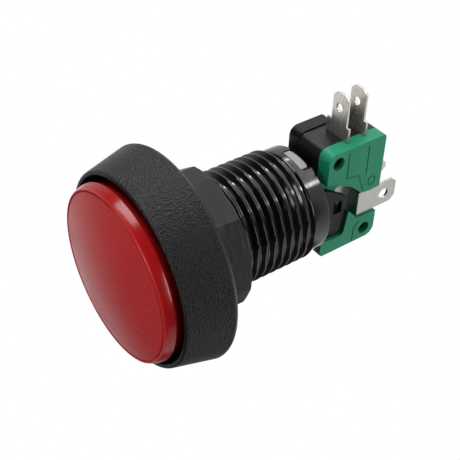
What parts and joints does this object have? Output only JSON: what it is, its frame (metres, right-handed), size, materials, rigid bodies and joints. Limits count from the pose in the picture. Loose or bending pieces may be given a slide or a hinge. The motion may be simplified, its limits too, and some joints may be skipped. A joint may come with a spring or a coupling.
{
  "type": "illuminated pushbutton switch",
  "caption": "Round illuminated pushbutton with domed cap, wide bezel, coarse threaded barrel, panel nut, push-in lamp holder and side-mounted snap-action switch.",
  "frame": {"origin": "centre of the bezel's seat on the panel", "axes": "+Z along the push axis towards the cap, +X along the switch towards its end terminals, -Y towards the side that the switch's cover faces"},
  "size_m": [0.0498, 0.048, 0.0832],
  "materials": {
    "body_black": "fine leather grain",
    "nut_black": "satin",
    "cap_red": "translucent, polished",
    "inner_white": "satin",
    "spring_wire": "drawn wire",
    "holder_black": "satin",
    "lamp_glass": "clear",
    "contact_brass": "rolled",
    "base_black": "satin",
    "cover_green": "satin",
    "button_black": "satin",
    "blade_copper": "rolled",
    "contact_silver": "turned",
    "terminal_plated": "plated sheet"
  },
  "bodies": {
    "housing": {"threaded_body": "body_black", "return_spring": "spring_wire", "lamp_holder": "holder_black", "wedge_lamp": "lamp_glass", "lamp_contact_front": "contact_brass", "lamp_contact_rear": "contact_brass", "switch_base": "base_black", "switch_cover": "cover_green", "common_terminal": "terminal_plated", "normally_closed_terminal": "terminal_plated", "normally_open_terminal": "terminal_plated", "normally_closed_contact": "contact_silver", "normally_open_contact": "contact_silver"},
    "cap": {"lens_cap": "cap_red", "diffuser_disc": "inner_white", "plunger": "inner_white"},
    "nut": {"panel_nut": "nut_black"},
    "button": {"switch_button": "button_black"},
    "blade": {"contact_blade": "blade_copper", "moving_contact": "contact_silver"}
  },
  "joints": [
    {"name": "cap_press", "type": "slide", "parent": "housing", "child": "cap", "axis": [0, 0, -1], "range_m": [0, 0.002], "stiffness_N_per_m": 400, "springref_m": -0.002, "deforming": ["return_spring"]},
    {"name": "nut_slide", "type": "slide", "parent": "housing", "child": "nut", "axis": [0, 0, -1], "range_m": [0, 0.0185]},
    {"name": "button_press", "type": "slide", "parent": "housing", "child": "button", "axis": [0, 0, -1], "range_m": [0, 0.002]},
    {"name": "blade_swing", "type": "hinge", "parent": "housing", "child": "blade", "pos_m": [-0.00485, -0.0027, -0.04272], "axis": [0, 1, 0], "range_deg": [0, 6.31]}
  ],
  "couplings": [
    {"joint": "button_press", "follows": "cap_press", "ratio": 1},
    {"joint": "blade_swing", "follows": "cap_press", "rad_per_m": 55}
  ]
}
